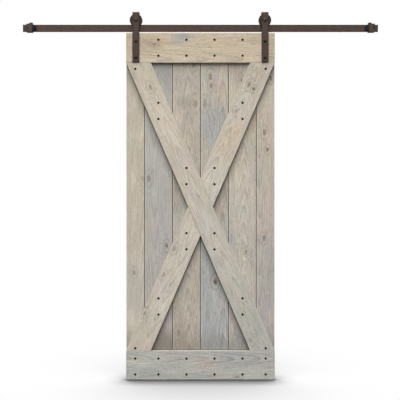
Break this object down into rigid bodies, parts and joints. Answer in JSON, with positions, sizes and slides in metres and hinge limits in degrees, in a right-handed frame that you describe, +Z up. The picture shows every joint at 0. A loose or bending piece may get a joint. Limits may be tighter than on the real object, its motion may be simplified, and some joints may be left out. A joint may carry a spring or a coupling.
{
  "type": "sliding barn door",
  "caption": "Plank barn door with an X brace, hung by bent-strap roller hangers from a flat wall rail with a rubber-tipped stop at each end.",
  "frame": {"origin": "on the wall's face, on the axis of the rail's middle bolt", "axes": "+X along the rail to the viewer's right, +Y into the wall along the rail bolts, +Z up"},
  "size_m": [2.189, 0.114, 2.2627],
  "materials": {
    "plank_wood": "weathered grey-beige wash",
    "board_wood": "weathered cream-beige wash",
    "bronze_hardware": "satin dark bronze",
    "black_screw": "black oxide",
    "bumper_rubber": "matt black rubber",
    "bright_steel": "ground steel"
  },
  "bodies": {
    "rail": {"track_rail": "bronze_hardware", "rail_spacer_1": "bronze_hardware", "rail_spacer_2": "bronze_hardware", "rail_spacer_3": "bronze_hardware", "rail_spacer_4": "bronze_hardware", "rail_spacer_5": "bronze_hardware", "rail_bolts": "bronze_hardware", "left_stop_body": "bronze_hardware", "right_stop_body": "bronze_hardware", "left_bumper": "bumper_rubber", "right_bumper": "bumper_rubber", "left_stop_screw": "black_screw", "right_stop_screw": "black_screw"},
    "door": {"plank_1": "plank_wood", "plank_2": "plank_wood", "plank_3": "plank_wood", "plank_4": "plank_wood", "plank_5": "plank_wood", "plank_6": "plank_wood", "top_board": "board_wood", "bottom_board": "board_wood", "long_brace": "board_wood", "upper_half_brace": "board_wood", "lower_half_brace": "board_wood", "board_screws": "black_screw", "left_hanger_strap": "bronze_hardware", "right_hanger_strap": "bronze_hardware", "strap_bolts": "bronze_hardware", "strap_washers": "bronze_hardware", "strap_nuts": "bronze_hardware", "axle_bolts": "bronze_hardware", "axle_nuts": "bronze_hardware", "axle_spacers": "bright_steel", "left_bearing_inner_ring": "bright_steel", "right_bearing_inner_ring": "bright_steel"},
    "left_wheel": {"left_wheel": "bronze_hardware", "left_bearing_outer_ring": "bright_steel"},
    "right_wheel": {"right_wheel": "bronze_hardware", "right_bearing_outer_ring": "bright_steel"}
  },
  "joints": [
    {"name": "door_slide", "type": "slide", "parent": "rail", "child": "door", "axis": [1, 0, 0], "range_m": [-0.596, 0.596]},
    {"name": "left_wheel_spin", "type": "hinge", "parent": "door", "child": "left_wheel", "pos_m": [-0.397, -0.038, 0.0493], "axis": [0, 1, 0], "continuous": true},
    {"name": "right_wheel_spin", "type": "hinge", "parent": "door", "child": "right_wheel", "pos_m": [0.397, -0.038, 0.0493], "axis": [0, 1, 0], "continuous": true}
  ],
  "couplings": [
    {"joint": "left_wheel_spin", "follows": "door_slide", "rad_per_m": 37.037},
    {"joint": "right_wheel_spin", "follows": "door_slide", "rad_per_m": 37.037}
  ]
}
